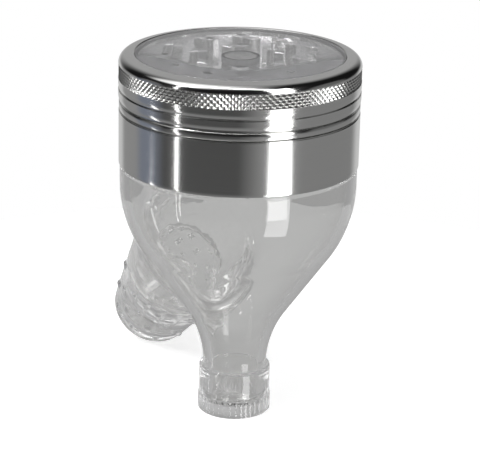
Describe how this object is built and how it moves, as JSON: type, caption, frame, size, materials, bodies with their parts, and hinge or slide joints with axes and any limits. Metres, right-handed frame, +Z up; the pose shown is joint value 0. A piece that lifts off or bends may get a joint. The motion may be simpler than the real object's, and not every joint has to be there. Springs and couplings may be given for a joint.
{
  "type": "hand grinder with glass vessel",
  "caption": "Hand grinder with a knurled aluminium lid and clear window, on a clear glass funnel with a capped neck and a capped side arm.",
  "frame": {"origin": "on the vessel's axis, at the underside of the neck cap on which the object stands", "axes": "+Z up along the vessel's axis, +Y to the back, where the side arm points, turned 25 degrees to the left, +X to the right"},
  "size_m": [0.067, 0.0926, 0.0988],
  "materials": {
    "clear_glass": "clear, polished",
    "turned_aluminium": "fine turned lines, bright",
    "chamber_aluminium": "fine turned lines",
    "tooth_aluminium": "milled, bright",
    "post_aluminium": "turned",
    "magnet_plating": "nickel plated",
    "cup_steel": "dark pressed steel",
    "clear_window": "clear acrylic",
    "clear_cap": "clear moulded plastic",
    "white_nylon": "natural nylon",
    "seal_rubber": "matt",
    "clear_seal": "translucent silicone"
  },
  "bodies": {
    "glass_vessel": {"bottle": "clear_glass", "coupling_band": "turned_aluminium", "band_seal": "clear_seal"},
    "chamber_seat": {"chamber_gasket": "seal_rubber"},
    "grinding_chamber": {"tooth_chamber": "chamber_aluminium", "chamber_teeth": "tooth_aluminium", "centre_post": "post_aluminium", "chamber_magnet": "magnet_plating"},
    "lid_guide": {"friction_ring": "white_nylon"},
    "lid": {"lid_ring": "turned_aluminium", "lid_window": "clear_window", "window_gasket": "seal_rubber", "lid_teeth": "tooth_aluminium", "magnet_cup": "cup_steel", "lid_magnet": "magnet_plating"},
    "neck_seat": {"neck_cap_liner": "clear_seal"},
    "neck_closure": {"neck_cap": "clear_cap"},
    "side_seat": {"side_cap_liner": "clear_seal"},
    "side_closure": {"side_cap": "clear_cap"}
  },
  "joints": [
    {"name": "chamber_travel", "type": "slide", "parent": "glass_vessel", "child": "chamber_seat", "axis": [0, 0, 1], "range_m": [0, 0.0038]},
    {"name": "chamber_turn", "type": "hinge", "parent": "chamber_seat", "child": "grinding_chamber", "pos_m": [0, 0, 0.08424], "axis": [0, 0, 1], "range_deg": [0, 900]},
    {"name": "lid_lift", "type": "slide", "parent": "grinding_chamber", "child": "lid_guide", "axis": [0, 0, 1], "range_m": [0, 0.03]},
    {"name": "lid_turn", "type": "hinge", "parent": "lid_guide", "child": "lid", "pos_m": [0, 0, 0.08659], "axis": [0, 0, 1], "continuous": true},
    {"name": "neck_cap_travel", "type": "slide", "parent": "glass_vessel", "child": "neck_seat", "axis": [0, 0, -1], "range_m": [0, 0.0038]},
    {"name": "neck_cap_turn", "type": "hinge", "parent": "neck_seat", "child": "neck_closure", "pos_m": [0, 0, 0], "axis": [0, 0, -1], "range_deg": [0, 900]},
    {"name": "side_cap_travel", "type": "slide", "parent": "glass_vessel", "child": "side_seat", "axis": [-0.304, 0.6519, -0.6947], "range_m": [0, 0.0038]},
    {"name": "side_cap_turn", "type": "hinge", "parent": "side_seat", "child": "side_closure", "pos_m": [-0.02441, 0.05236, 0.00825], "axis": [-0.304, 0.6519, -0.6947], "range_deg": [0, 900]}
  ],
  "couplings": [
    {"joint": "chamber_travel", "follows": "chamber_turn", "m_per_rad": 0.00023873},
    {"joint": "neck_cap_travel", "follows": "neck_cap_turn", "m_per_rad": 0.00023873},
    {"joint": "side_cap_travel", "follows": "side_cap_turn", "m_per_rad": 0.00023873}
  ]
}
